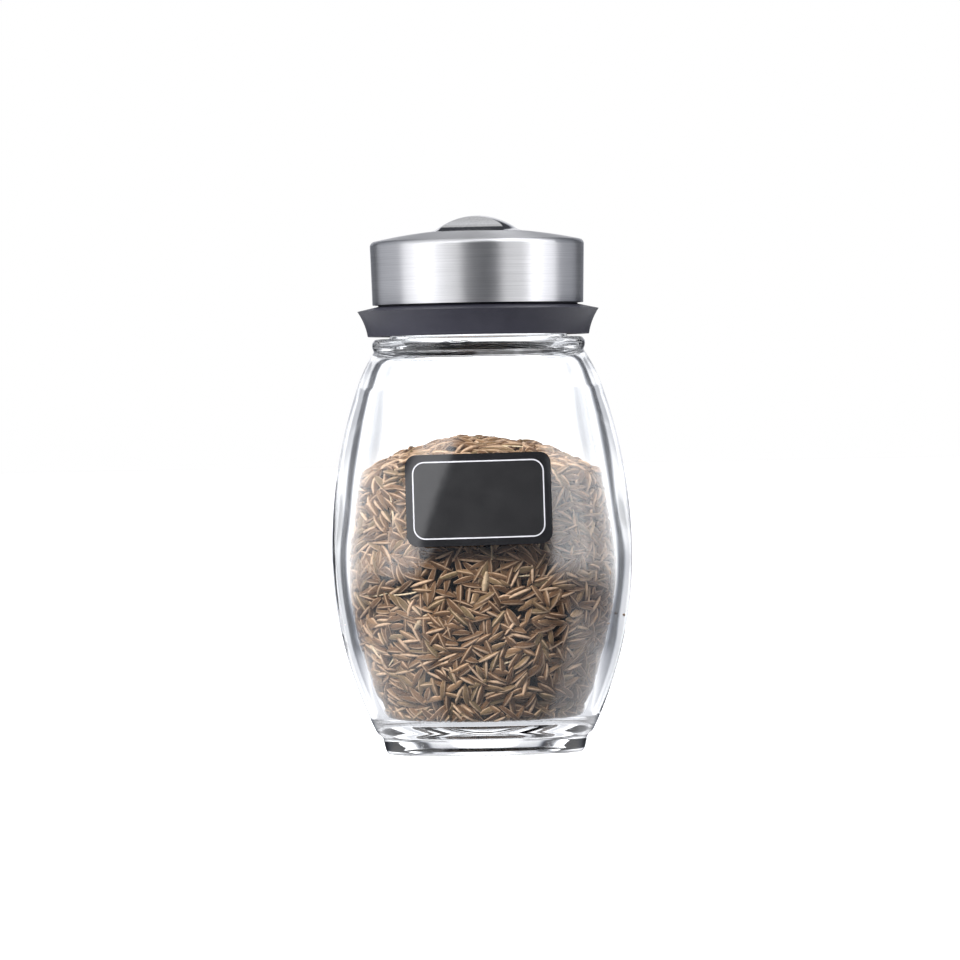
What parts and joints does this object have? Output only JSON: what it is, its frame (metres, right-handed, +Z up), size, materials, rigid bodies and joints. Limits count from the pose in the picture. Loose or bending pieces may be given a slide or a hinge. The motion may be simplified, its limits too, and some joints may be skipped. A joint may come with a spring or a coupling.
{
  "type": "spice jar",
  "caption": "Barrel-shaped glass spice jar of cumin seeds with a write-on label, a screw collar with a sifter, and a turning brushed steel cap with a pinch grip",
  "frame": {"origin": "centre of the foot's underside, on the table", "axes": "+Z up along the jar's axis, the label faces -Y, +X to the right of someone who looks at the label"},
  "size_m": [0.058, 0.0582, 0.104],
  "materials": {
    "glass": "clear",
    "label_vinyl": "glossy",
    "cumin": "dry seeds",
    "seal": "soft foam",
    "collar_plastic": "satin",
    "inner_plastic": "satin",
    "steel": "brushed band, polished grip"
  },
  "bodies": {
    "jar": {"glass_jar": "glass", "label": "label_vinyl", "cumin_fill": "cumin"},
    "seal": {"seal_ring": "seal"},
    "closure": {"collar": "collar_plastic", "sifter_disc": "inner_plastic"},
    "turning_cap": {"dial": "inner_plastic", "steel_cover": "steel"}
  },
  "joints": [
    {"name": "cap_lift", "type": "slide", "parent": "jar", "child": "seal", "axis": [0, 0, 1], "range_m": [0, 0.01261]},
    {"name": "cap_turn", "type": "hinge", "parent": "seal", "child": "closure", "pos_m": [0, 0, 0.0875], "axis": [0, 0, 1], "range_deg": [0, 1080]},
    {"name": "dial_turn", "type": "hinge", "parent": "closure", "child": "turning_cap", "pos_m": [0, 0, 0.0936], "axis": [0, 0, 1], "continuous": true}
  ],
  "couplings": [
    {"joint": "cap_lift", "follows": "cap_turn", "m_per_rad": 0.00066845}
  ]
}
